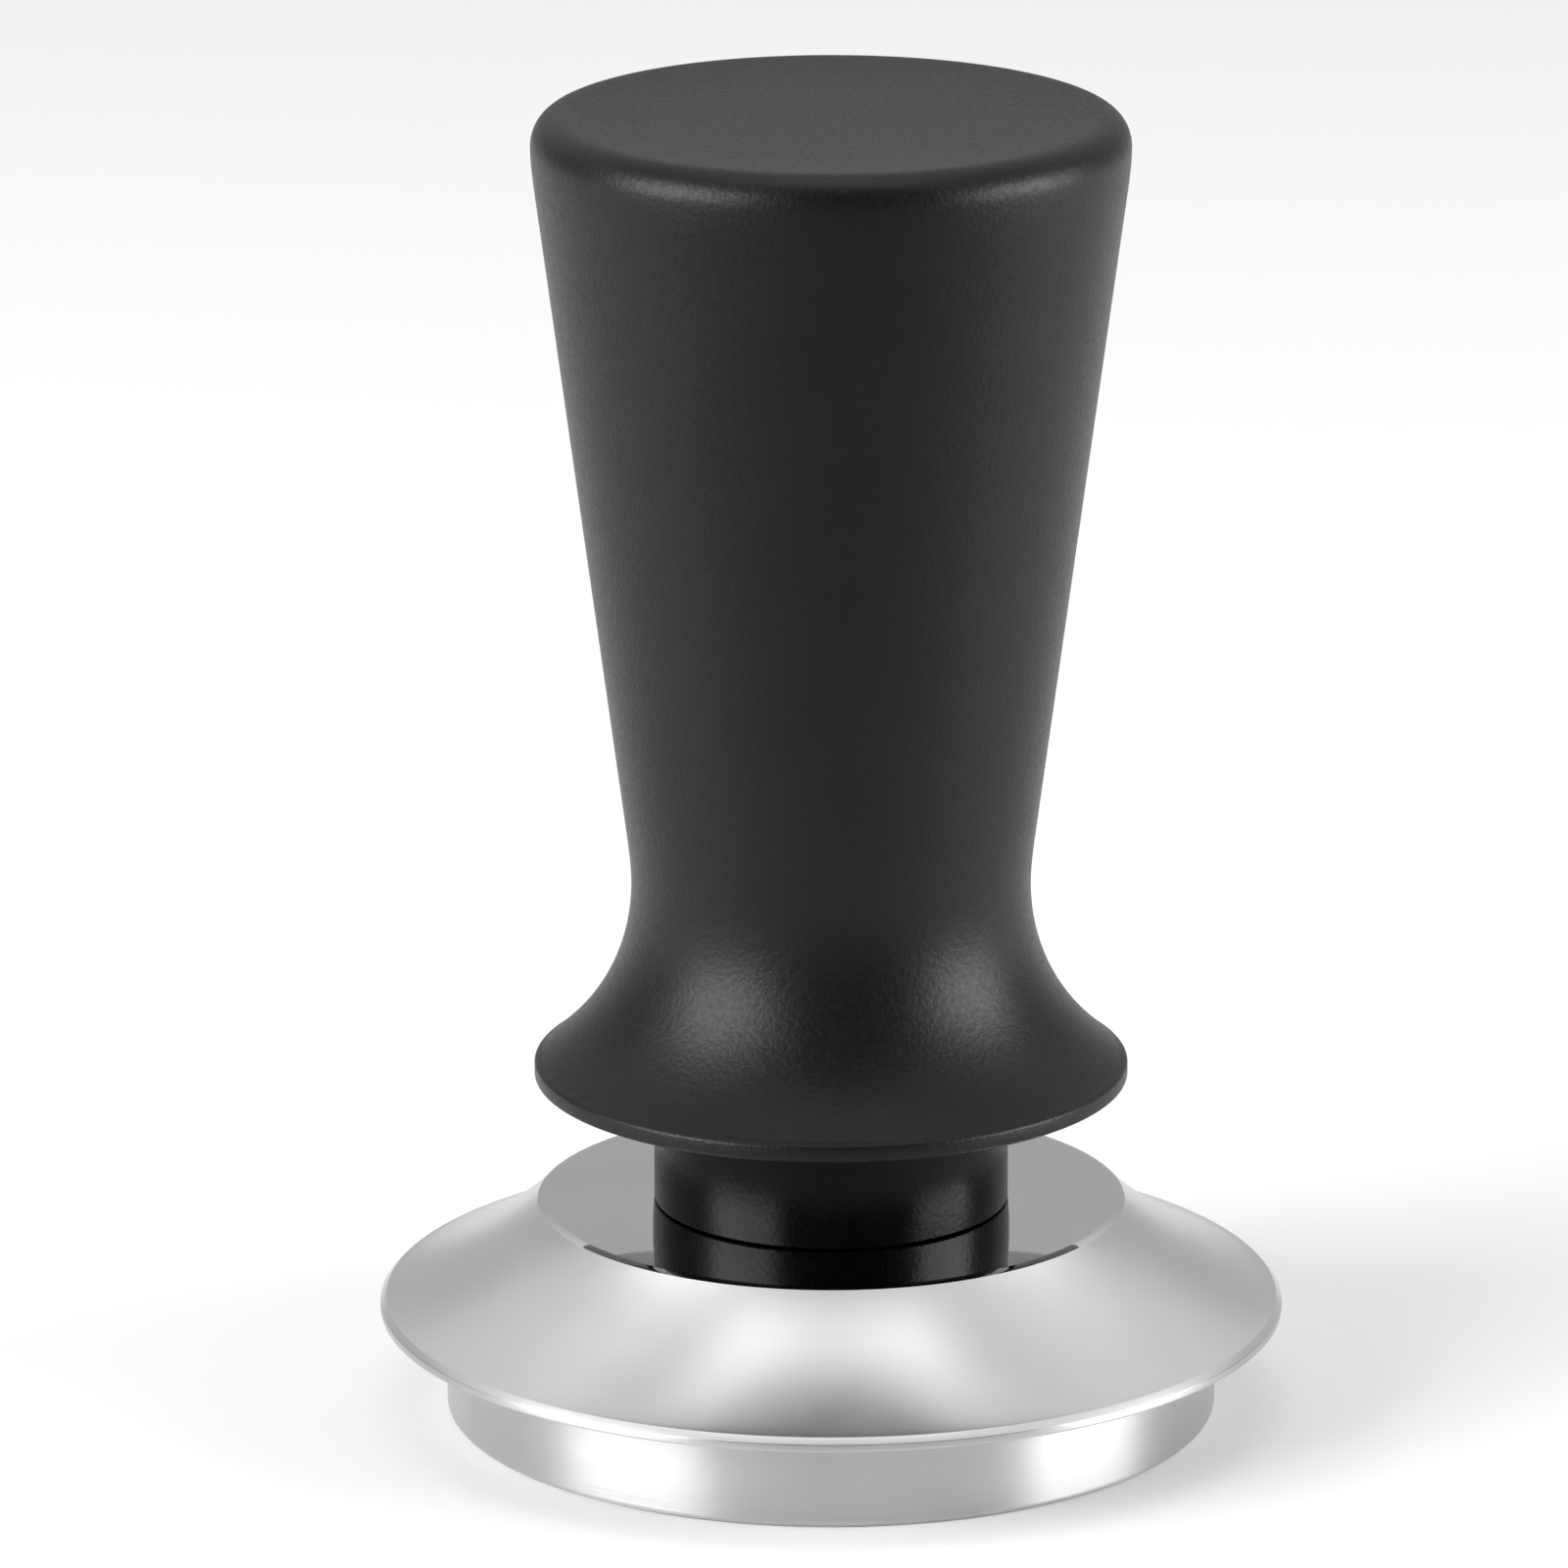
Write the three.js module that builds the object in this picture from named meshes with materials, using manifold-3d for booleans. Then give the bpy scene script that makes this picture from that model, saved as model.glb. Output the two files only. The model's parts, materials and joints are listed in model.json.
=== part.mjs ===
// Spring-loaded espresso tamper with a sliding leveller, in millimetres.
// +Z is up and the origin is the centre of the flat tamping face.
//
// Everything is round about one axis. Three groups move on it:
//   - the base, with the stem that carries the two others;
//   - the leveller, a bell-shaped skirt on a black sleeve, which slides up the
//     stem into the handle against a light spring;
//   - the handle, which presses down the stem against the calibrating spring.
import * as THREE from "three";
import { mergeVertices } from "three/addons/utils/BufferGeometryUtils.js";
import Module from "manifold-3d";

const wasm = await Module();
wasm.setup();

// ---------------------------------------------------------------- driving sizes
const GAP = 0.3; // between solids that touch, and round threads and press fits
const RUNNING = 0.18; // radial gap of a piece that slides or turns in another

const BASE_RADIUS = 29; // for a 58 mm filter basket
const BASE_TOP = 8.3;
const SKIRT_FOOT = 7.6; // the rim that lands on the basket
const SKIRT_RADIUS = 34;
const TABLE = 16.15; // flat polished top of the skirt
const TABLE_RADIUS = 22.1;
const HANDLE_FOOT = 25.8;
const HANDLE_TOP = 99.4;
const FLARE_RADIUS = 22.25;
const WAIST = { radius: 14.92, height: 40.9 };

const STEM_RADIUS = 6;
const STEM_SHOULDER = 9.6;
const LOWER_THREAD = 4; // M8, stem into base
const UPPER_THREAD = 3; // M6, nuts on top of the stem
const NUT_FOOT = 57.2; // also the top of the stem's thick part

const SLEEVE_RADIUS = 13.3;
const SLEEVE_FOOT = 10.2;
const SLEEVE_FLOOR = 19; // the leveller's bush and spring stand on it
const SLEEVE_TOP = 36;
const SPIGOT_RADIUS = 11.1; // sleeve thread in the skirt

const COLLAR_RADIUS = 12.3; // thread in the handle
const COLLAR_FOOT = 46; // clears the sleeve with both springs pressed home
const COLLAR_TOP = 54.6;
const CHAMBER = { radius: 10.8, top: 90 }; // hollow of the calibrating spring

const BUSH = { bore: STEM_RADIUS + RUNNING, barrel: 7.3, flangeHeight: 0.8 };
const LOWER_BUSH = { flange: 9, foot: 10.5, seat: SLEEVE_FLOOR + GAP };
const UPPER_BUSH = { flange: 9.4, foot: 46.4, seat: COLLAR_TOP + GAP };

// Flat rings, by hole, outside and thickness.
const STEM_WASHER = { bore: LOWER_THREAD + GAP, rim: 7.2, thickness: 0.7 };
const SPRING_WASHER = { bore: 6.6, rim: 10.1, thickness: 0.6 };
const THRUST_WASHER = { bore: 7.1, rim: 10, thickness: 0.8 };
const BUMPER = { bore: 6.3, rim: 9.6, thickness: 0.9 };

const LEVELLER_SPRING = { radius: 9.2, wire: 1.2, turns: 7, sides: 6 };
const MAIN_SPRING = { radius: 8.2, wire: 2.2, turns: 6, sides: 8 };
const SPRING_SEAT_FOOT = 88.4; // the calibrating spring presses up on it

const LARGE = 40; // facets round the outer pieces
const MIDDLE = 32; // facets round collars, nuts and rings
const SMALL = 28; // facets round bushes and washers

// ---------------------------------------------------------------- materials
const finish = (color, roughness, metalness) =>
  new THREE.MeshStandardMaterial({ color, roughness, metalness });

const blackAnodised = () => finish(0x1b1b1c, 0.5, 0.2);
const polishedSteel = () => finish(0xc9c9cb, 0.16, 1);
const brushedSteel = () => finish(0xc2c2c4, 0.3, 1);
const groundSteel = () => finish(0xa9abb0, 0.35, 1);
const springSteel = () => finish(0x8f9298, 0.3, 1);
const brass = () => finish(0xb8923f, 0.35, 1);
const acetal = () => finish(0xe6e4dc, 0.5, 0);
const rubber = () => finish(0x131313, 0.85, 0);

// ---------------------------------------------------------------- shape helpers
// A closed outline of [radius, height] points, turned about +Z. It runs up the
// outside and down the inside, which makes the faces point outwards.
function turned(outline, facets) {
  const points = outline.map(([r, z]) => new THREE.Vector2(r, z));
  if (outline[0][0] > 0) points.push(points[0].clone());
  return new THREE.LatheGeometry(points, facets).rotateX(Math.PI / 2);
}

// A tube.
function ring({ inner, outer, foot, top }, facets) {
  return turned([[inner, foot], [outer, foot], [outer, top], [inner, top]], facets);
}

// A flat ring that lies, with a gap, on what is below it.
function washer({ bore, rim, thickness }, below) {
  const foot = below + GAP;
  return ring({ inner: bore, outer: rim, foot, top: foot + thickness }, SMALL);
}

// A bush that runs on the stem: a barrel with a flange on its upper end.
function stemBush({ flange, foot, seat }) {
  const top = seat + BUSH.flangeHeight;
  const outside = [[BUSH.barrel, foot], [BUSH.barrel, seat], [flange, seat], [flange, top]];
  return turned([[BUSH.bore, foot], ...outside, [BUSH.bore, top]], SMALL);
}

// A rubber O-ring.
function roundRing({ radius, height, thickness }) {
  const sides = 8;
  const outline = [];
  for (let i = 0; i < sides; i++) {
    const a = (2 * Math.PI * i) / sides;
    const reach = thickness / 2;
    outline.push([radius + reach * Math.cos(a), height + reach * Math.sin(a)]);
  }
  return turned(outline, MIDDLE);
}

// Points of a cubic curve from one outline point to another, without the first.
function curve(from, leaving, arriving, to, steps) {
  const corners = [from, leaving, arriving, to].map(([r, z]) => new THREE.Vector2(r, z));
  const points = new THREE.CubicBezierCurve(...corners).getPoints(steps);
  return points.slice(1).map((point) => [point.x, point.y]);
}

// ---------------------------------------------------------------- boolean cuts
function solid(geometry) {
  const bare = geometry.clone();
  bare.deleteAttribute("normal");
  bare.deleteAttribute("uv");
  const merged = mergeVertices(bare);
  const vertProperties = merged.attributes.position.array;
  const triVerts = new Uint32Array(merged.index.array);
  return new wasm.Manifold(new wasm.Mesh({ numProp: 3, vertProperties, triVerts }));
}

function cut(geometry, tools) {
  const left = tools.reduce((body, tool) => body.subtract(solid(tool)), solid(geometry));
  const mesh = left.getMesh();
  return new THREE.BufferGeometry()
    .setAttribute("position", new THREE.BufferAttribute(mesh.vertProperties, 3))
    .setIndex(new THREE.BufferAttribute(mesh.triVerts, 1));
}

// ---------------------------------------------------------------- springs
// The middle line of a coil whose first and last turns lie closed on the next.
class Coil extends THREE.Curve {
  constructor(radius, wire, foot, top, turns) {
    super();
    Object.assign(this, { radius, wire, foot, top, turns });
  }

  getPoint(t, target = new THREE.Vector3()) {
    const turn = t * this.turns;
    const closedPitch = this.wire * 1.08;
    const low = this.foot + this.wire * 0.1;
    const high = this.top - this.wire * 0.1;
    const openPitch = (high - low - 2 * closedPitch) / (this.turns - 2);
    const above = Math.max(0, turn - this.turns + 1);
    const below = Math.min(1, turn);
    const open = turn - below - above;
    const z = low + closedPitch * (below + above) + openPitch * open;
    const a = 2 * Math.PI * turn;
    return target.set(this.radius * Math.cos(a), this.radius * Math.sin(a), z);
  }
}

// The wire is swept along the coil, and both ends are ground flat.
function spring({ radius, wire, turns, sides }, foot, top) {
  const stepsPerTurn = 12;
  const section = new THREE.Shape();
  section.absarc(0, 0, wire / 2, 0, 2 * Math.PI);
  const swept = new THREE.ExtrudeGeometry(section, {
    curveSegments: sides,
    steps: turns * stepsPerTurn,
    extrudePath: new Coil(radius, wire, foot, top, turns),
    bevelEnabled: false,
  });
  const grinder = (height) =>
    new THREE.BoxGeometry(4 * radius, 4 * radius, 4 * wire).translate(0, 0, height);
  return cut(swept, [grinder(foot - 2 * wire), grinder(top + 2 * wire)]);
}

// ---------------------------------------------------------------- base and stem
const STOP_RING = { inner: 25.9, outer: 27.5, foot: 7.1, top: BASE_TOP + GAP };

function tamperBase() {
  const edge = 0.45; // broken edge of the tamping face
  const hole = { radius: LOWER_THREAD + GAP, floor: 2.4 };
  return turned(
    [
      [0, 0],
      [BASE_RADIUS - edge, 0],
      [BASE_RADIUS, edge],
      [BASE_RADIUS, BASE_TOP - edge],
      [BASE_RADIUS - edge, BASE_TOP],
      [STOP_RING.outer + GAP, BASE_TOP],
      [STOP_RING.outer + GAP, STOP_RING.foot - GAP],
      [STOP_RING.inner - GAP, STOP_RING.foot - GAP],
      [STOP_RING.inner - GAP, BASE_TOP],
      [hole.radius, BASE_TOP],
      [hole.radius, hole.floor],
      [0, hole.floor],
    ],
    LARGE,
  );
}

// A round steel rod with a thread at each end and a hexagon key hole on top.
function stem() {
  const foot = 2.7;
  const tip = 66;
  const bevel = 0.6;
  const rod = turned(
    [
      [0, foot],
      [LOWER_THREAD - bevel, foot],
      [LOWER_THREAD, foot + bevel],
      [LOWER_THREAD, STEM_SHOULDER],
      [STEM_RADIUS, STEM_SHOULDER],
      [STEM_RADIUS, NUT_FOOT - GAP],
      [UPPER_THREAD, NUT_FOOT - GAP],
      [UPPER_THREAD, tip - bevel],
      [UPPER_THREAD - bevel, tip],
      [0, tip],
    ],
    SMALL,
  );
  const key = { corner: 1.75, depth: 3 };
  const keyHole = new THREE.CylinderGeometry(key.corner, key.corner, 2 * key.depth, 6);
  return cut(rod, [keyHole.rotateX(Math.PI / 2).translate(0, 0, tip)]);
}

const NUT = { flange: 10.1, flangeTop: 59.4, boss: 6.8, top: 62.2 };

// The flange carries the calibrating spring and the boss centres it.
function plungerNut() {
  const bore = UPPER_THREAD + GAP;
  const bevel = 0.5;
  return turned(
    [
      [bore, NUT_FOOT],
      [NUT.flange, NUT_FOOT],
      [NUT.flange, NUT.flangeTop],
      [NUT.boss, NUT.flangeTop],
      [NUT.boss, NUT.top - bevel],
      [NUT.boss - bevel, NUT.top],
      [bore, NUT.top],
    ],
    MIDDLE,
  );
}

function lockNut() {
  const acrossFlats = 10;
  const height = 2.4;
  const corner = acrossFlats / Math.sqrt(3);
  const corners = [];
  for (let i = 0; i < 6; i++) {
    const a = (Math.PI / 3) * i;
    corners.push(new THREE.Vector2(corner * Math.cos(a), corner * Math.sin(a)));
  }
  const hexagon = new THREE.Shape(corners);
  const hole = new THREE.Path().absarc(0, 0, UPPER_THREAD + GAP, 0, 2 * Math.PI, true);
  hexagon.holes.push(hole);
  const options = { depth: height, curveSegments: SMALL / 2, bevelEnabled: false };
  return new THREE.ExtrudeGeometry(hexagon, options).translate(0, 0, NUT.top + GAP);
}

// ---------------------------------------------------------------- leveller
function levellerSkirt() {
  const rimTop = [SKIRT_RADIUS - 0.45, 8.65]; // the outer curve ends here, on the bevel
  const bevelFoot = [SKIRT_RADIUS, 8.2];
  const rimFoot = 0.2; // broken lower edge of the rim
  const edge = [TABLE_RADIUS, TABLE - 0.12];
  const flatEdge = [TABLE_RADIUS - 0.65, TABLE]; // the table's edge falls off a little
  const recess = { radius: BASE_RADIUS + 0.35, roof: BASE_TOP + 2 * GAP };
  const pocket = { radius: 24.2, roof: 12.6 };
  const hub = { radius: 15, foot: 12 };
  const bore = SPIGOT_RADIUS + GAP;
  return turned(
    [
      [recess.radius, SKIRT_FOOT],
      [SKIRT_RADIUS - rimFoot, SKIRT_FOOT],
      [SKIRT_RADIUS, SKIRT_FOOT + rimFoot],
      bevelFoot,
      rimTop,
      ...curve(rimTop, [32.7, 8.85], [26.6, 11.3], edge, 7),
      flatEdge,
      [bore, TABLE],
      [bore, hub.foot],
      [hub.radius, hub.foot],
      [hub.radius, pocket.roof],
      [pocket.radius, pocket.roof],
      [pocket.radius, recess.roof],
      [recess.radius, recess.roof],
    ],
    LARGE,
  );
}

const SLEEVE_SEAL = { height: 33.4, thickness: 1, radius: 12.9 };

// The black neck: it holds the skirt below and slides in the handle above.
function levellerSleeve() {
  const bevel = 0.3;
  const spring = 10.5; // radius of the hollow that takes the leveller's spring
  const grooveFoot = SLEEVE_SEAL.height - SLEEVE_SEAL.thickness / 2 - GAP;
  const grooveTop = SLEEVE_SEAL.height + SLEEVE_SEAL.thickness / 2 + GAP;
  const grooveRadius = SLEEVE_SEAL.radius - SLEEVE_SEAL.thickness / 2 - GAP;
  return turned(
    [
      [BUSH.barrel + GAP, SLEEVE_FOOT],
      [SPIGOT_RADIUS, SLEEVE_FOOT],
      [SPIGOT_RADIUS, TABLE + GAP],
      [SLEEVE_RADIUS, TABLE + GAP],
      [SLEEVE_RADIUS, grooveFoot],
      [grooveRadius, grooveFoot],
      [grooveRadius, grooveTop],
      [SLEEVE_RADIUS, grooveTop],
      [SLEEVE_RADIUS, SLEEVE_TOP - bevel],
      [SLEEVE_RADIUS - bevel, SLEEVE_TOP],
      [spring, SLEEVE_TOP],
      [spring, SLEEVE_FLOOR],
      [BUSH.barrel + GAP, SLEEVE_FLOOR],
    ],
    LARGE,
  );
}

// A threaded ring with four spanner slots, which clamps the skirt to the sleeve.
function sleeveLockRing() {
  const outer = 14.6;
  const foot = SLEEVE_FOOT;
  const top = 11.7;
  const slot = { width: 2.4, depth: 1.2 };
  const blank = ring({ inner: SPIGOT_RADIUS + GAP, outer, foot, top }, MIDDLE);
  const slots = [];
  for (let i = 0; i < 4; i++) {
    const cutter = new THREE.BoxGeometry(2 * slot.depth, slot.width, 2 * (top - foot));
    cutter.translate(outer, 0, (foot + top) / 2);
    slots.push(cutter.rotateZ((Math.PI / 2) * i));
  }
  return cut(blank, slots);
}

// ---------------------------------------------------------------- handle
const MOUTH_RING = {
  inner: SLEEVE_RADIUS + RUNNING,
  outer: 14.7,
  foot: HANDLE_FOOT + GAP,
  top: 29.5,
};

function handleShell() {
  const edge = 0.25;
  const bandTop = [FLARE_RADIUS, 26.85]; // top of the thin upright lip
  const lip = [21.55, 27.5]; // foot of the flare's 45 degree stretch
  const waist = [WAIST.radius, WAIST.height];
  const coneFoot = [15.43, 46];
  const coneTop = [21.45, 91.4];
  const brim = [22.05, 97]; // widest place, where the top edge starts to round
  const rim = [19.9, HANDLE_TOP];
  const dish = HANDLE_TOP - 0.6; // floor of the shallow hollow in the palm rest
  const bore = SLEEVE_RADIUS + GAP;
  const seat = { radius: MOUTH_RING.outer + GAP, roof: MOUTH_RING.top + GAP };
  const thread = { radius: COLLAR_RADIUS + GAP, top: COLLAR_TOP + GAP };
  return turned(
    [
      [seat.radius, HANDLE_FOOT],
      [FLARE_RADIUS - edge, HANDLE_FOOT],
      [FLARE_RADIUS, HANDLE_FOOT + edge],
      bandTop,
      ...curve(bandTop, [FLARE_RADIUS, 27.1], [21.8, 27.25], lip, 2),
      ...curve(lip, [20.75, 28.3], [WAIST.radius, 32.5], waist, 7),
      ...curve(waist, [WAIST.radius, 42.4], [15.2, 44.2], coneFoot, 2),
      coneTop,
      ...curve(coneTop, [21.8, 94], [brim[0], 95.6], brim, 2),
      ...curve(brim, [brim[0], 98.3], [21.2, HANDLE_TOP], rim, 4),
      ...curve(rim, [14, dish], [7, dish], [0, dish], 3),
      [0, CHAMBER.top],
      [CHAMBER.radius, CHAMBER.top],
      [CHAMBER.radius, thread.top],
      [thread.radius, thread.top],
      [thread.radius, COLLAR_FOOT],
      [bore, COLLAR_FOOT],
      [bore, seat.roof],
      [seat.radius, seat.roof],
    ],
    LARGE,
  );
}

const COLLAR_SEAL = { height: 50.4, thickness: 1.2, radius: 11.75 };

// Screws into the handle, guides it on the stem and keeps it from coming off.
function retainerCollar() {
  const bore = BUSH.barrel + 2 * GAP;
  const grooveFoot = COLLAR_SEAL.height - COLLAR_SEAL.thickness / 2 - GAP;
  const grooveTop = COLLAR_SEAL.height + COLLAR_SEAL.thickness / 2 + GAP;
  const grooveRadius = COLLAR_SEAL.radius - COLLAR_SEAL.thickness / 2 - GAP;
  const blank = turned(
    [
      [bore, COLLAR_FOOT],
      [COLLAR_RADIUS, COLLAR_FOOT],
      [COLLAR_RADIUS, grooveFoot],
      [grooveRadius, grooveFoot],
      [grooveRadius, grooveTop],
      [COLLAR_RADIUS, grooveTop],
      [COLLAR_RADIUS, COLLAR_TOP],
      [bore, COLLAR_TOP],
    ],
    MIDDLE,
  );
  const pin = { radius: 0.8, depth: 2, circle: 10 }; // holes for a pin spanner
  const holes = [];
  for (let i = 0; i < 4; i++) {
    const hole = new THREE.CylinderGeometry(pin.radius, pin.radius, 2 * pin.depth, 8);
    hole.rotateX(Math.PI / 2).translate(pin.circle, 0, COLLAR_FOOT);
    holes.push(hole.rotateZ((Math.PI / 2) * i));
  }
  return cut(blank, holes);
}

// An acetal cup that centres the calibrating spring in the top of the handle.
function springSeat() {
  const flange = { radius: 10.4, foot: SPRING_SEAT_FOOT, top: CHAMBER.top - GAP };
  const spigot = { radius: 6.6, foot: 84, bevel: 0.6 };
  const hollow = { radius: 4, roof: 88 };
  return turned(
    [
      [hollow.radius, spigot.foot],
      [spigot.radius - spigot.bevel, spigot.foot],
      [spigot.radius, spigot.foot + spigot.bevel],
      [spigot.radius, flange.foot],
      [flange.radius, flange.foot],
      [flange.radius, flange.top],
      [0, flange.top],
      [0, hollow.roof],
      [hollow.radius, hollow.roof],
    ],
    SMALL,
  );
}

// ---------------------------------------------------------------- the two springs
const lowerBushTop = LOWER_BUSH.seat + BUSH.flangeHeight;
const upperBushTop = UPPER_BUSH.seat + BUSH.flangeHeight;

function levellerSpring() {
  const foot = lowerBushTop + GAP + SPRING_WASHER.thickness + GAP;
  return spring(LEVELLER_SPRING, foot, COLLAR_FOOT - GAP);
}

function mainSpring() {
  const foot = NUT.flangeTop + GAP + THRUST_WASHER.thickness + GAP;
  return spring(MAIN_SPRING, foot, SPRING_SEAT_FOOT - GAP);
}

// ---------------------------------------------------------------- the assembly
const tamper = new THREE.Group();

function add(name, geometry, material) {
  const mesh = new THREE.Mesh(geometry, material);
  mesh.name = name;
  tamper.add(mesh);
}

// Base and stem.
add("tamper_base", tamperBase(), brushedSteel());
add("stop_ring", ring(STOP_RING, MIDDLE), rubber());
add("stem", stem(), groundSteel());
add("stem_washer", washer(STEM_WASHER, BASE_TOP), springSteel());
add("plunger_nut", plungerNut(), groundSteel());
add("lock_nut", lockNut(), groundSteel());
add("thrust_washer", washer(THRUST_WASHER, NUT.flangeTop), groundSteel());

// Leveller.
add("leveler_skirt", levellerSkirt(), polishedSteel());
add("leveler_sleeve", levellerSleeve(), blackAnodised());
add("sleeve_lock_ring", sleeveLockRing(), groundSteel());
add("sleeve_seal", roundRing(SLEEVE_SEAL), rubber());
add("leveler_bush", stemBush(LOWER_BUSH), brass());
add("leveler_washer", washer(SPRING_WASHER, lowerBushTop), groundSteel());
add("leveler_spring", levellerSpring(), springSteel());

// Handle.
add("handle_body", handleShell(), blackAnodised());
add("mouth_ring", ring(MOUTH_RING, MIDDLE), acetal());
add("retainer_collar", retainerCollar(), brass());
add("collar_seal", roundRing(COLLAR_SEAL), rubber());
add("guide_bush", stemBush(UPPER_BUSH), brass());
add("return_bumper", washer(BUMPER, upperBushTop), rubber());
add("main_spring", mainSpring(), springSteel());
add("spring_seat", springSeat(), acetal());

export default tamper;
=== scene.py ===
"""Looks of a spring-loaded espresso tamper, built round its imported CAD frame.

Every round piece is an outline turned about +Z. Outlines are in millimetres and
start from the frame's own boxes; Blender's objects are in metres.
"""
import json
import math

import bmesh
import bpy
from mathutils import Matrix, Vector


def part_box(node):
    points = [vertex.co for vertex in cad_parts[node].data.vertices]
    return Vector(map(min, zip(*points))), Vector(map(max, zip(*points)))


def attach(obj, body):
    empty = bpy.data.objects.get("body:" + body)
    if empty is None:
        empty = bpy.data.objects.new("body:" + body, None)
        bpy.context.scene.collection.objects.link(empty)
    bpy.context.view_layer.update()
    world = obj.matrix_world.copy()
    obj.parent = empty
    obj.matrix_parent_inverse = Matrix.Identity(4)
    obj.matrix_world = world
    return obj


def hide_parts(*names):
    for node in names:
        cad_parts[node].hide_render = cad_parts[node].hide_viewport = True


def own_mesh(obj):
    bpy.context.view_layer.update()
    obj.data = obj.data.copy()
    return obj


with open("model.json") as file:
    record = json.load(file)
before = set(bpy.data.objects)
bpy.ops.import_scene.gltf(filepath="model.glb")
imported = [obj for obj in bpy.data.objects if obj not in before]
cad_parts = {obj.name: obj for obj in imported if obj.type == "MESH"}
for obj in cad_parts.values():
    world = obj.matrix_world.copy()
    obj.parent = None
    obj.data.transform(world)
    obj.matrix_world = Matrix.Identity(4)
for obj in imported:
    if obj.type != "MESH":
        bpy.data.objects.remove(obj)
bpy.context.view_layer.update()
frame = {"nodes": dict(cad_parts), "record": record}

MM = 0.001
ON_AXIS = 1e-6  # a smaller radius counts as on the axis
CREASE = math.radians(30)  # edges that turn more than this stay sharp
LEVEL = 0.9  # least upward part of the normal of a flat face
PRESS_TRAVEL = 4.0  # of the handle, in millimetres
LIFT_TRAVEL = 5.5  # of the leveller
SLOT_OF = {row["node"]: row["material_slot"] for row in frame["record"]["subparts"]}
BODY_OF = {
    node: body
    for body, nodes in frame["record"]["behaviour"]["bodies"].items()
    for node in nodes
}


def reach(node):
    """Outer radius, foot and top of a CAD node, in millimetres."""
    low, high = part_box(node)
    return high.x / MM, low.z / MM, high.z / MM


# ------------------------------------------------------------------ outlines
def arc_corner(before, corner, after, radius):
    """Points of a round of that radius in place of one corner of an outline."""
    step_angle = math.radians(12)
    straight = 1e-4  # half a corner this close to a right angle is no corner
    here = Vector(corner)
    back = Vector(before) - here
    on = Vector(after) - here
    room = 0.49 * min(back.length, on.length)  # under half of the shorter side
    back.normalize()
    on.normalize()
    half = 0.5 * back.angle(on)
    if radius <= 0 or abs(half - math.pi / 2) < straight:
        return [tuple(here)]
    step_in = min(radius / math.tan(half), room)
    radius = step_in * math.tan(half)
    centre = here + (back + on).normalized() * (radius / math.sin(half))
    start = here + back * step_in - centre
    end = here + on * step_in - centre
    sweep = start.angle(end)
    steps = max(2, round(sweep / step_angle))
    points = []
    for i in range(steps + 1):
        t = i / steps
        start_share = math.sin((1 - t) * sweep) / math.sin(sweep)
        end_share = math.sin(t * sweep) / math.sin(sweep)
        points.append(tuple(centre + start * start_share + end * end_share))
    return points


def rounded(outline, broken=0.15):
    """A closed outline with every corner off the axis rounded. A corner is (radius,
    height) or (radius, height, round), and broken is the round where none is given."""
    count = len(outline)
    points = []
    for i, corner in enumerate(outline):
        place = corner[:2]
        size = corner[2] if len(corner) > 2 else broken
        if place[0] < ON_AXIS:
            size = 0
        before = outline[i - 1][:2]
        after = outline[(i + 1) % count][:2]
        points += arc_corner(before, place, after, size)
    return points


def curve(start, leaving, arriving, end, steps=24):
    """Points of a cubic curve, as sharp corners of an outline, with both ends."""
    points = []
    for i in range(steps + 1):
        t = i / steps
        weights = ((1 - t) ** 3, 3 * (1 - t) ** 2 * t, 3 * (1 - t) * t**2, t**3)
        corners = (start, leaving, arriving, end)
        r = sum(w * c[0] for w, c in zip(weights, corners))
        z = sum(w * c[1] for w, c in zip(weights, corners))
        points.append((r, z, 0))
    return points


# ------------------------------------------------------------------ meshes
def smooth(piece):
    piece.data.shade_smooth()
    piece.data.set_sharp_from_angle(angle=CREASE)


def new_piece(name, build):
    """An object made of a finished bmesh."""
    mesh = bpy.data.meshes.new(name)
    build.to_mesh(mesh)
    build.free()
    piece = bpy.data.objects.new(name, mesh)
    bpy.context.scene.collection.objects.link(piece)
    smooth(piece)
    return piece


def round_point(radius, angle, height):
    """A point in metres, from its radius and height in millimetres."""
    return (radius * MM * math.cos(angle), radius * MM * math.sin(angle), height * MM)


def turned(name, outline, segments):
    """A closed solid of revolution. The outline runs up the outside and down the inside."""
    build = bmesh.new()
    columns = []
    for r, z in outline:
        if r < ON_AXIS:
            pole = build.verts.new((0, 0, z * MM))
            columns.append([pole] * segments)
            continue
        ring = []
        for i in range(segments):
            ring.append(build.verts.new(round_point(r, 2 * math.pi * i / segments, z)))
        columns.append(ring)
    for lower, upper in zip(columns, columns[1:] + columns[:1]):
        if lower[0] is lower[1] and upper[0] is upper[1]:
            continue
        for i in range(segments):
            j = (i + 1) % segments
            corners = [lower[i], lower[j], upper[j], upper[i]]
            build.faces.new(list(dict.fromkeys(corners)))
    return new_piece(name, build)


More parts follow.
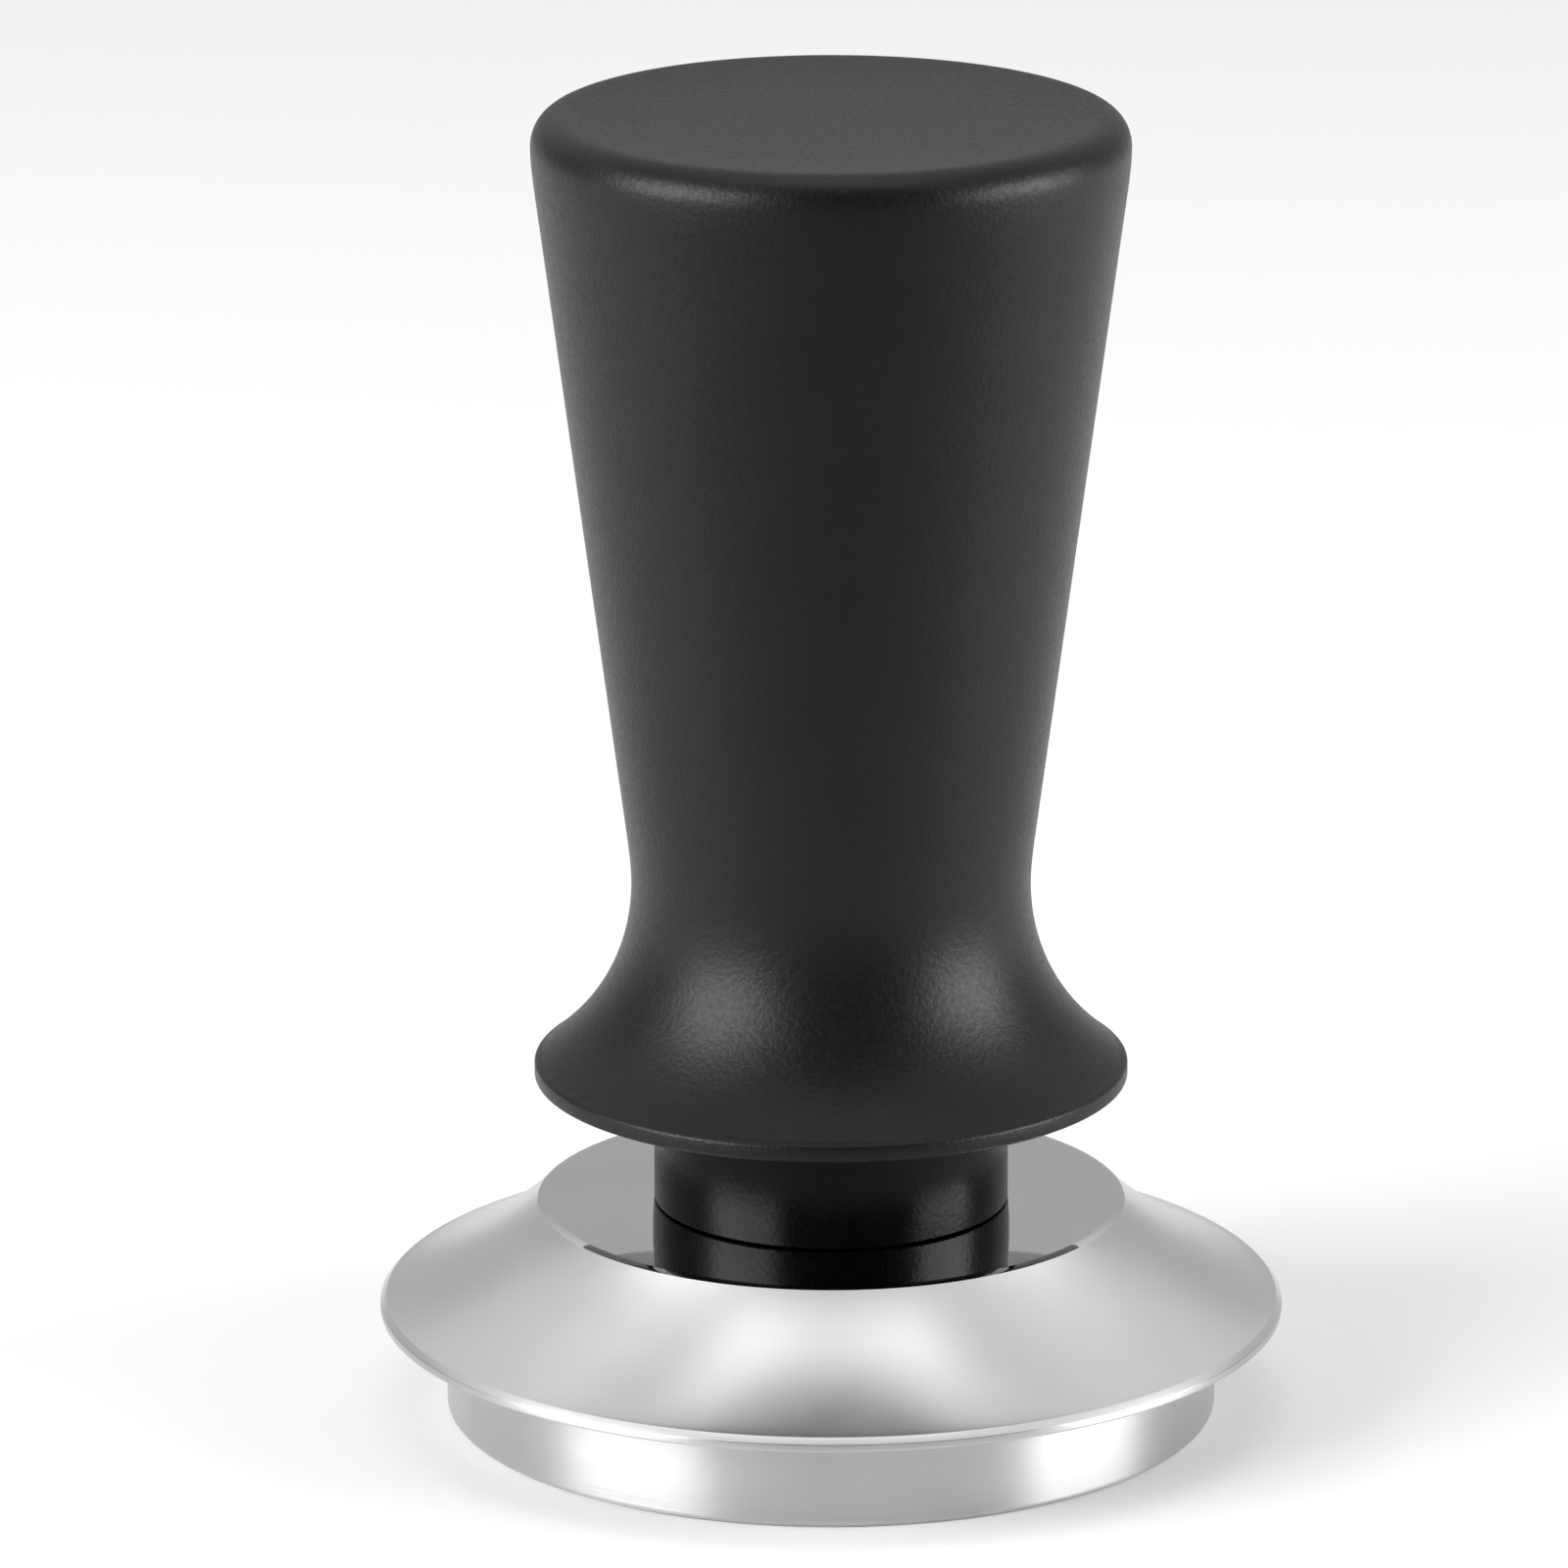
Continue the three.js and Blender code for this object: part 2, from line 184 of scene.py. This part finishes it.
def coil(name, radius, wire, foot, top, turns, part=(0, 1)):
    """A compression spring with closed ends ground flat, or the part of it between two
    shares of its length."""
    sides = 16
    steps_per_turn = 48
    closed = 0.9 / turns  # share of the length closed up at each end
    ground = 0.25 * wire  # ground off each end
    low = foot + ground
    high = top - ground
    rise = wire * closed * turns

    def height(share):
        if share < closed:
            return low + rise * share / closed
        if share > 1 - closed:
            return high - rise * (1 - share) / closed
        middle = (share - closed) / (1 - 2 * closed)
        return low + rise + middle * (high - low - 2 * rise)

    build = bmesh.new()
    steps = round(turns * steps_per_turn * (part[1] - part[0]))
    sections = []
    for i in range(steps + 1):
        share = part[0] + (part[1] - part[0]) * i / steps
        turn = 2 * math.pi * turns * share
        section = []
        for k in range(sides):
            a = 2 * math.pi * k / sides
            r = radius + 0.5 * wire * math.cos(a)
            z = height(share) + 0.5 * wire * math.sin(a)
            section.append(build.verts.new(round_point(r, turn, min(max(z, foot), top))))
        sections.append(section)
    for before, after in zip(sections, sections[1:]):
        for k in range(sides):
            j = (k + 1) % sides
            build.faces.new((before[k], after[k], after[j], before[j]))
    build.faces.new(sections[0])
    build.faces.new(sections[-1][::-1])
    return new_piece(name, build)


def fit(piece, node, material):
    """Puts a finished piece in place of its CAD node, on the node's body."""
    piece.data.materials.append(material)
    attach(piece, BODY_OF[node])
    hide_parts(node)
    return piece


def paint(piece, material, where):
    """Gives a second material to the faces whose centre passes the test."""
    piece.data.materials.append(material)
    index = len(piece.data.materials) - 1
    for face in piece.data.polygons:
        centre = face.center / MM
        if where(math.hypot(centre.x, centre.y), centre.z, face.normal):
            face.material_index = index


# ------------------------------------------------------------------ materials
class Nodes:
    """Short ways to add nodes to the node tree of a material or a world."""

    def __init__(self, owner):
        owner.use_nodes = True
        self.nodes = owner.node_tree.nodes
        self.links = owner.node_tree.links

    def math(self, operation, first, second=None):
        node = self.nodes.new("ShaderNodeMath")
        node.operation = operation
        for socket, value in zip(node.inputs, (first, second)):
            if isinstance(value, (int, float)):
                socket.default_value = value
            elif value is not None:
                self.links.new(value, socket)
        return node.outputs[0]

    def spread(self, value, low, high, start=0.3, end=0.7, kind="LINEAR"):
        """Maps a value from start..end to low..high; either end may be a socket."""
        node = self.nodes.new("ShaderNodeMapRange")
        node.interpolation_type = kind
        self.links.new(value, node.inputs["Value"])
        ends = {"From Min": start, "From Max": end, "To Min": low, "To Max": high}
        for socket, number in ends.items():
            if isinstance(number, (int, float)):
                node.inputs[socket].default_value = number
            else:
                self.links.new(number, node.inputs[socket])
        return node.outputs["Result"]

    def split(self, vector):
        node = self.nodes.new("ShaderNodeSeparateXYZ")
        self.links.new(vector, node.inputs[0])
        return node.outputs


class Finish(Nodes):
    """A Principled material, with short ways to add procedural detail."""

    def __init__(self, name, **sockets):
        self.material = bpy.data.materials.new(name)
        super().__init__(self.material)
        self.shader = self.nodes["Principled BSDF"]
        for socket, value in sockets.items():
            self.shader.inputs[socket.replace("_", " ")].default_value = value
        self.place = self.nodes.new("ShaderNodeTexCoord").outputs["Object"]
        self.normal = None

    def noise(self, scale, detail=2.0, roughness=0.5, stretch=None):
        """A noise value over the piece. scale is in features per millimetre."""
        node = self.nodes.new("ShaderNodeTexNoise")
        node.inputs["Scale"].default_value = scale / MM
        node.inputs["Detail"].default_value = detail
        node.inputs["Roughness"].default_value = roughness
        self.links.new(stretch or self.place, node.inputs["Vector"])
        return node.outputs["Fac"]

    def grey(self, value, dark, light, start=0.3, end=0.7):
        """Colours the piece between two colours by a noise value."""
        ramp = self.nodes.new("ShaderNodeValToRGB")
        ramp.color_ramp.elements[0].position = start
        ramp.color_ramp.elements[0].color = (*dark, 1)
        ramp.color_ramp.elements[1].position = end
        ramp.color_ramp.elements[1].color = (*light, 1)
        self.links.new(value, ramp.inputs["Fac"])
        self.links.new(ramp.outputs["Color"], self.shader.inputs["Base Color"])

    def rough(self, value, low, high):
        """Sets the roughness between two values by a noise value."""
        self.links.new(self.spread(value, low, high), self.shader.inputs["Roughness"])

    def bump(self, value, height, strength=1.0):
        """Adds relief; height is in millimetres, and several bumps add up."""
        node = self.nodes.new("ShaderNodeBump")
        node.inputs["Strength"].default_value = strength
        node.inputs["Distance"].default_value = height * MM
        self.links.new(value, node.inputs["Height"])
        if self.normal:
            self.links.new(self.normal, node.inputs["Normal"])
        self.normal = node.outputs["Normal"]
        self.links.new(self.normal, self.shader.inputs["Normal"])

    def round_place(self, across, round_and_round):
        """Coordinates for turned work, with a scale of their own across the marks and
        one along them, so that a noise in them draws out round the piece."""
        lean = 1.4  # share of the height taken off the radius: walls and flats both show marks
        x, y, z = self.split(self.place)
        squares = self.math("ADD", self.math("MULTIPLY", x, x), self.math("MULTIPLY", y, y))
        section = self.math("SUBTRACT", self.math("SQRT", squares), self.math("MULTIPLY", z, lean))
        angle = self.math("ARCTAN2", y, x)
        place = self.nodes.new("ShaderNodeCombineXYZ")
        along = round_and_round * MM
        self.links.new(self.math("MULTIPLY", self.math("COSINE", angle), along), place.inputs[0])
        self.links.new(self.math("MULTIPLY", self.math("SINE", angle), along), place.inputs[1])
        self.links.new(self.math("MULTIPLY", section, across), place.inputs[2])
        return place.outputs[0]

    def turned_tangent(self):
        """Stretches highlights across the turning marks, as turned metal does."""
        tangent = self.nodes.new("ShaderNodeTangent")
        tangent.direction_type = "RADIAL"
        tangent.axis = "Z"
        self.links.new(tangent.outputs[0], self.shader.inputs["Tangent"])


def anodised(name, dark, light, rough, shine, relief):
    """Bead-blasted aluminium dyed black, with a fine even grain and a faint mottle."""
    finish = Finish(name, Specular_IOR_Level=shine)
    grain = finish.noise(2.6, detail=2, roughness=0.6)
    mottle = finish.noise(0.12, detail=3)
    finish.grey(mottle, dark, light)
    finish.rough(grain, *rough)
    finish.bump(grain, height=relief)
    return finish.material


def mirror_steel():
    """The flat top of the skirt, polished like a mirror."""
    finish = Finish("mirror_steel", Metallic=1.0)
    haze = finish.noise(0.08, detail=4)
    finish.grey(haze, (0.64, 0.64, 0.64), (0.68, 0.68, 0.68))
    finish.rough(haze, 0.02, 0.045)
    return finish.material


def polished_steel():
    """The skirt's curved outside: satin, with faint turning marks and smudges."""
    finish = Finish("polished_steel", Metallic=1.0, Anisotropic=0.6, Anisotropic_Rotation=0.25)
    rings = finish.noise(1.0, detail=2, stretch=finish.round_place(4.0, 4.0))
    haze = finish.noise(0.07, detail=4)
    finish.grey(haze, (0.66, 0.66, 0.66), (0.71, 0.71, 0.71))
    finish.rough(haze, 0.28, 0.34)
    finish.bump(rings, height=0.0004)
    finish.turned_tangent()
    return finish.material


def brushed_steel():
    """The base: finely turned, so that highlights draw out up and down its wall."""
    finish = Finish("brushed_steel", Metallic=1.0, Anisotropic=0.85, Anisotropic_Rotation=0.25)
    rings = finish.noise(1.0, detail=3, stretch=finish.round_place(12.0, 3.0))
    haze = finish.noise(0.15, detail=3)
    finish.grey(haze, (0.53, 0.53, 0.53), (0.57, 0.57, 0.57))
    finish.rough(rings, 0.32, 0.40)
    finish.bump(rings, height=0.0008)
    finish.turned_tangent()
    return finish.material


def bare_metal(name, dark, light, rough):
    """Turned metal inside the tamper: steel, spring wire or brass."""
    finish = Finish(name, Metallic=1.0)
    rings = finish.noise(1.0, detail=3, stretch=finish.round_place(6.0, 4.0))
    finish.grey(rings, dark, light)
    finish.rough(rings, *rough)
    finish.bump(rings, height=0.004, strength=0.3)
    return finish.material


def dull(name, dark, light, rough, scale):
    """Plastic or rubber with a fine uneven surface."""
    finish = Finish(name, Metallic=0.0)
    grain = finish.noise(scale, detail=3)
    finish.grey(grain, dark, light)
    finish.rough(grain, *rough)
    finish.bump(grain, height=0.01, strength=0.3)
    return finish.material


MATERIALS = {
    "black_anodised": anodised(
        "black_anodised",
        dark=(0.0030, 0.0030, 0.0032),
        light=(0.0045, 0.0045, 0.0047),
        rough=(0.35, 0.45),
        shine=0.27,
        relief=0.035,
    ),
    "polished_steel": polished_steel(),
    "brushed_steel": brushed_steel(),
    "ground_steel": bare_metal(
        "ground_steel",
        dark=(0.42, 0.43, 0.45),
        light=(0.55, 0.56, 0.58),
        rough=(0.26, 0.38),
    ),
    "spring_steel": bare_metal(
        "spring_steel",
        dark=(0.27, 0.28, 0.30),
        light=(0.36, 0.37, 0.39),
        rough=(0.28, 0.42),
    ),
    "brass": bare_metal(
        "brass",
        dark=(0.55, 0.36, 0.10),
        light=(0.68, 0.47, 0.16),
        rough=(0.24, 0.36),
    ),
    "acetal": dull(
        "acetal",
        dark=(0.74, 0.73, 0.69),
        light=(0.80, 0.79, 0.75),
        rough=(0.42, 0.55),
        scale=1.5,
    ),
    "rubber": dull(
        "rubber",
        dark=(0.010, 0.010, 0.010),
        light=(0.018, 0.018, 0.018),
        rough=(0.7, 0.9),
        scale=2.5,
    ),
}
MIRROR = mirror_steel()
NECK_BLACK = anodised(
    "neck_black",
    dark=(0.0014, 0.0014, 0.0016),
    light=(0.0024, 0.0024, 0.0026),
    rough=(0.22, 0.30),
    shine=0.11,
    relief=0.02,
)
FACED_BLACK = anodised(
    "faced_black",
    dark=(0.0020, 0.0020, 0.0022),
    light=(0.0035, 0.0035, 0.0037),
    rough=(0.08, 0.12),
    shine=0.9,
    relief=0.0005,
)


def finished(node, outline, segments=96):
    """Turns the outline and fits it in place of the CAD node."""
    return fit(turned(node + "_fine", outline, segments), node, MATERIALS[SLOT_OF[node]])


# ------------------------------------------------------------------ base
def make_base():
    radius, foot, top = reach("tamper_base")
    foot_round = 0.5
    top_round = 0.35
    ring_inner = 25.6
    ring_outer = 27.8
    groove_floor = 6.8
    hole = 4.3
    hole_floor = 2.4
    hole_round = 0.4
    outline = rounded([
        (0, foot),
        (radius, foot, foot_round),
        (radius, top, top_round),
        (ring_outer, top),
        (ring_outer, groove_floor),
        (ring_inner, groove_floor),
        (ring_inner, top),
        (hole, top, hole_round),
        (hole, hole_floor),
        (0, hole_floor),
    ])
    finished("tamper_base", outline, 192)


# ------------------------------------------------------------------ leveller
def make_skirt():
    radius, foot, table = reach("leveler_skirt")
    wall = radius - 0.1  # beyond it lies the rim's wall
    bevel_foot = foot + 0.6
    rim_top = (radius - 0.45, foot + 1.05)
    rim_pull = (32.7, 8.85)
    edge_pull = (26.6, 11.3)
    edge = (22.1, table - 0.12)
    flat_edge = (21.45, table)
    keep_flat = 0.05  # a last narrow ring, so that smoothing does not bend the mirror
    recess_radius = 29.35
    recess_top = 8.9
    pocket_radius = 24.2
    pocket_top = 12.6
    hub_radius = 15
    hub_foot = 12
    bore = 11.4
    bell = curve(rim_top, rim_pull, edge_pull, edge, 40)
    outline = rounded(
        [
            (recess_radius, foot),
            (radius, foot, 0.2),
            (radius, bevel_foot, 0.1),
            (*rim_top, 0.06),
        ]
        + bell[1:]
        + [
            (*flat_edge, 0),
            (flat_edge[0] - keep_flat, table, 0),
            (bore, table),
            (bore, hub_foot),
            (hub_radius, hub_foot),
            (hub_radius, pocket_top),
            (pocket_radius, pocket_top, 0.6),
            (pocket_radius, recess_top),
            (recess_radius, recess_top),
        ]
    )
    skirt = finished("leveler_skirt", outline, 256)
    paint(skirt, MIRROR, lambda r, z, normal: normal.z > LEVEL and z > edge[1] and r > bore)
    brushed = MATERIALS["brushed_steel"]
    paint(skirt, brushed, lambda r, z, normal: r > wall and z < rim_top[1])


def make_sleeve():
    radius, foot, top = reach("leveler_sleeve")
    table = reach("leveler_skirt")[2]
    shoulder = table + 0.1
    seat = 7.6
    spigot = 11.1
    chamber = 10.5
    chamber_floor = 19
    groove_radius = 12.1
    groove_foot = 32.6
    groove_top = 34.2
    outline = rounded([
        (seat, foot),
        (spigot, foot),
        (spigot, shoulder),
        (radius, shoulder, 0.12),
        (radius, groove_foot, 0.1),
        (groove_radius, groove_foot, 0.1),
        (groove_radius, groove_top, 0.1),
        (radius, groove_top, 0.1),
        (radius, top, 0.3),
        (chamber, top),
        (chamber, chamber_floor),
        (seat, chamber_floor),
    ])
    sleeve = finished("leveler_sleeve", outline, 192)
    sleeve.data.materials[0] = NECK_BLACK


# ------------------------------------------------------------------ handle
def make_handle():
    flare, foot, top = reach("handle_body")
    waist = (14.92, 40.9)
    band_top = (flare, 26.85)
    lip = (21.55, 27.5)
    cone_foot = (15.43, 46)
    cone_top = (21.45, 91.4)
    brim = (22.05, 97)
    rim = (19.9, top)
    dish = top - 0.6
    seat_radius = 15
    seat_top = 29.8
    bore_radius = 13.6
    bore_top = 46
    thread_radius = 12.6
    thread_top = 54.9
    chamber_radius = 10.8
    chamber_top = 90
    shoulder = curve(band_top, (flare, 27.15), (21.8, 27.25), lip, 6)
    trumpet = curve(lip, (20.75, 28.3), (waist[0], 32.5), waist, 40)
    grip = curve(waist, (waist[0], 42.4), (15.2, 44.2), cone_foot, 8)
    crown = curve(cone_top, (21.8, 94), (brim[0], 95.6), brim, 8)
    brow = curve(brim, (brim[0], 98.3), (21.2, top), rim, 14)
    hollow = curve(rim, (14, dish), (7, dish), (0, dish), 24)
    outline = rounded(
        [(seat_radius, foot, 0.25), (flare, foot, 0.3)]
        + shoulder
        + trumpet[1:]
        + grip[1:]
        + crown
        + brow[1:]
        + hollow[1:]
        + [
            (0, chamber_top),
            (chamber_radius, chamber_top, 0.8),
            (chamber_radius, thread_top),
            (thread_radius, thread_top),
            (thread_radius, bore_top),
            (bore_radius, bore_top),
            (bore_radius, seat_top),
            (seat_radius, seat_top),
        ]
    )
    handle = finished("handle_body", outline, 256)
    underside = foot + 0.1
    paint(handle, FACED_BLACK, lambda r, z, normal: normal.z < -LEVEL and z < underside)


# ------------------------------------------------------------------ small inner pieces
def make_ring(node, bore, broken=0.12):
    """A plain washer or ring with broken edges."""
    outer, foot, top = reach(node)
    finished(node, rounded([(bore, foot), (outer, foot), (outer, top), (bore, top)], broken))


def make_seal(node, thickness):
    """An O-ring."""
    outer, foot, top = reach(node)
    middle = 0.5 * (foot + top)
    half = 0.5 * thickness
    steps = 20
    outline = []
    for i in range(steps):
        a = 2 * math.pi * i / steps
        outline.append((outer - half + half * math.cos(a), middle + half * math.sin(a)))
    finished(node, outline)


def make_bush(node):
    """A flanged bush, standing on its barrel."""
    flange, foot, top = reach(node)
    bore = 6.18
    barrel = 7.3
    seat = top - 0.8
    outline = rounded([
        (bore, foot, 0.3),
        (barrel, foot, 0.3),
        (barrel, seat),
        (flange, seat),
        (flange, top),
        (bore, top, 0.3),
    ])
    finished(node, outline)


def make_plunger_nut():
    flange, foot, top = reach("plunger_nut")
    bore = 3.3
    boss = 6.8
    flange_top = 59.4
    outline = rounded([
        (bore, foot, 0.4),
        (flange, foot, 0.3),
        (flange, flange_top, 0.3),
        (boss, flange_top),
        (boss, top, 0.4),
        (bore, top, 0.4),
    ])
    finished("plunger_nut", outline)


# ------------------------------------------------------------------ springs
def make_main_spring():
    """It rides the handle."""
    radius = 8.2
    wire = 2.2
    turns = 6
    foot, top = reach("main_spring")[1:]
    spring = coil("main_spring_fine", radius, wire, foot, top, turns)
    fit(spring, "main_spring", MATERIALS["spring_steel"])
    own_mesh(spring)


def make_leveller_spring():
    """Its lower half rides the leveller's slide and its upper half the handle's."""
    radius = 9.2
    wire = 1.2
    turns = 7
    join = 0.0001  # hairline between the halves, as a share of the length
    foot, top = reach("leveler_spring")[1:]
    halves = (
        ("lower", "leveler_slide", "leveler_lift", LIFT_TRAVEL, foot, (0, 0.5 - join)),
        ("upper", "handle_slide", "handle_press", PRESS_TRAVEL, top, (0.5 + join, 1)),
    )
    for name, body, joint, travel, anchor, part in halves:
        spring = coil("leveler_spring_" + name, radius, wire, foot, top, turns, part)
        spring.data.materials.append(MATERIALS["spring_steel"])
        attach(spring, body)
        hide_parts("leveler_spring")
        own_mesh(spring)


make_base()
make_skirt()
make_sleeve()
make_handle()
make_ring("stop_ring", bore=25.9, broken=0.25)
make_ring("stem_washer", bore=4.3)
make_ring("thrust_washer", bore=7.1)
make_ring("leveler_washer", bore=6.6)
make_ring("return_bumper", bore=6.3, broken=0.25)
make_ring("mouth_ring", bore=13.48)
make_seal("collar_seal", thickness=1.2)
make_seal("sleeve_seal", thickness=1.0)
make_bush("guide_bush")
make_bush("leveler_bush")
make_plunger_nut()
make_main_spring()
make_leveller_spring()

# The CAD nodes get the same finishes, for those that no finer piece replaces.
for node, piece in frame["nodes"].items():
    piece.data.materials.clear()
    piece.data.materials.append(MATERIALS[SLOT_OF[node]])
    smooth(piece)


# ------------------------------------------------------------------ studio
WALLS = 0.8  # brightness of the pale walls; the floor's white is 1
BACK_WALL = 0.5
SHADED_GAP = 0.25
CEILING = 1.1
BACK_CEILING = 0.35
CAMERA_SIDE = 0.02
CENTRE = Vector((0, 0, 0.05))
SOFTBOX_DISTANCE = 1.0


def softbox(name, azimuth, elevation, size, brightness):
    """A soft light aimed at the tamper. Azimuth 0 is the camera's side, positive to its
    right; brightness is in the same unit as the walls'."""
    a = math.radians(azimuth)
    e = math.radians(elevation)
    towards = Vector((math.sin(a) * math.cos(e), -math.cos(a) * math.cos(e), math.sin(e)))
    light = bpy.data.lights.new(name, "AREA")
    light.shape = "RECTANGLE"
    light.size, light.size_y = size
    light.energy = brightness * math.pi * size[0] * size[1]
    lamp = bpy.data.objects.new(name, light)
    lamp.location = CENTRE + SOFTBOX_DISTANCE * towards
    lamp.rotation_euler = towards.to_track_quat("Z", "Y").to_euler()
    bpy.context.scene.collection.objects.link(lamp)


def make_floor():
    """A pale sheet with painted shade: it turns greyer on the camera's side, standing in for the
    dark room there.
    """
    side = 12.0
    pale = (0.9, 0.9, 0.9)
    # painted shade: the floor's grey on the camera's side, standing in for the dark room there
    grey = (0.42, 0.42, 0.42)
    painted_shade_up_to = -0.12
    pale_from = -0.042
    mesh = bpy.data.meshes.new("floor")
    corners = [(-side, -side, 0), (side, -side, 0), (side, side, 0), (-side, side, 0)]
    mesh.from_pydata(corners, [], [(0, 1, 2, 3)])
    floor = bpy.data.objects.new("floor", mesh)
    bpy.context.scene.collection.objects.link(floor)
    finish = Finish("pale_floor", Roughness=0.8, Specular_IOR_Level=0.1)
    depth = finish.split(finish.place)[1]
    # painted shade: the grey fades into the pale floor from the camera's side towards the tamper
    paleness = finish.spread(depth, 0.0, 1.0, painted_shade_up_to, pale_from, "SMOOTHSTEP")
    finish.grey(paleness, grey, pale, 0, 1)
    finish.bump(finish.noise(0.5), height=0.01, strength=0.1)
    mesh.materials.append(finish.material)


def make_sky():
    """Plain surroundings: pale walls with a shaded gap behind each side light, a greyer
    wall at the back, a bright ceiling and a dark room on the camera's side. Each pair of
    numbers says where one part of the room gives way to the next."""
    gap = (0.50, 0.56)  # in half turns from the camera's side
    back_wall = (0.70, 0.76)
    upper_walls = (0.32, 0.5)  # upward part of the direction looked in
    ceiling_edge = (0.85, 0.93)
    far_ceiling = (0.0, 0.2)  # part of that direction away from the camera
    near_room = (-0.58, -0.42)
    world = bpy.data.worlds.new("studio")
    bpy.context.scene.world = world
    sky = Nodes(world)
    place = sky.nodes.new("ShaderNodeTexCoord")
    x, y, z = sky.split(place.outputs["Generated"])
    sideways = sky.math("ABSOLUTE", x)
    turn = sky.math("DIVIDE", sky.math("ARCTAN2", sideways, sky.math("MULTIPLY", y, -1)), math.pi)
    walls = sky.spread(turn, WALLS, SHADED_GAP, *gap, "SMOOTHSTEP")
    walls = sky.spread(turn, walls, BACK_WALL, *back_wall, "SMOOTHSTEP")
    walls = sky.spread(z, walls, WALLS, *upper_walls, "SMOOTHSTEP")
    ceiling = sky.spread(y, CEILING, BACK_CEILING, *far_ceiling, "SMOOTHSTEP")
    room = sky.spread(z, walls, ceiling, *ceiling_edge, "SMOOTHSTEP")
    light = sky.spread(y, CAMERA_SIDE, room, *near_room, "SMOOTHSTEP")
    background = sky.nodes["Background"]
    background.inputs["Color"].default_value = (1, 1, 1, 1)
    sky.links.new(light, background.inputs["Strength"])


def make_camera():
    lens = 248.4675  # millimetres, on a sensor 36 mm wide
    tilt = math.radians(16.02)
    aim = Vector((0, 0, 0.04832))
    distance = 0.806
    data = bpy.data.cameras.new("camera")
    data.sensor_width = 36.0
    data.lens = lens
    data.shift_x = -0.03
    data.clip_start = 0.05
    data.clip_end = 50
    camera = bpy.data.objects.new("camera", data)
    camera.location = aim + distance * Vector((0, -math.cos(tilt), math.sin(tilt)))
    camera.rotation_euler = (math.pi / 2 - tilt, 0, 0)
    bpy.context.scene.collection.objects.link(camera)
    bpy.context.scene.camera = camera


make_floor()
make_sky()
make_camera()
softbox("left_softbox", azimuth=-60, elevation=18, size=(0.8, 0.6), brightness=8.5)
softbox("right_softbox", azimuth=79, elevation=10, size=(0.7, 0.5), brightness=8.5)
softbox("top_softbox", azimuth=180, elevation=84, size=(0.7, 0.6), brightness=1.1)
bpy.context.scene.view_settings.view_transform = "Standard"
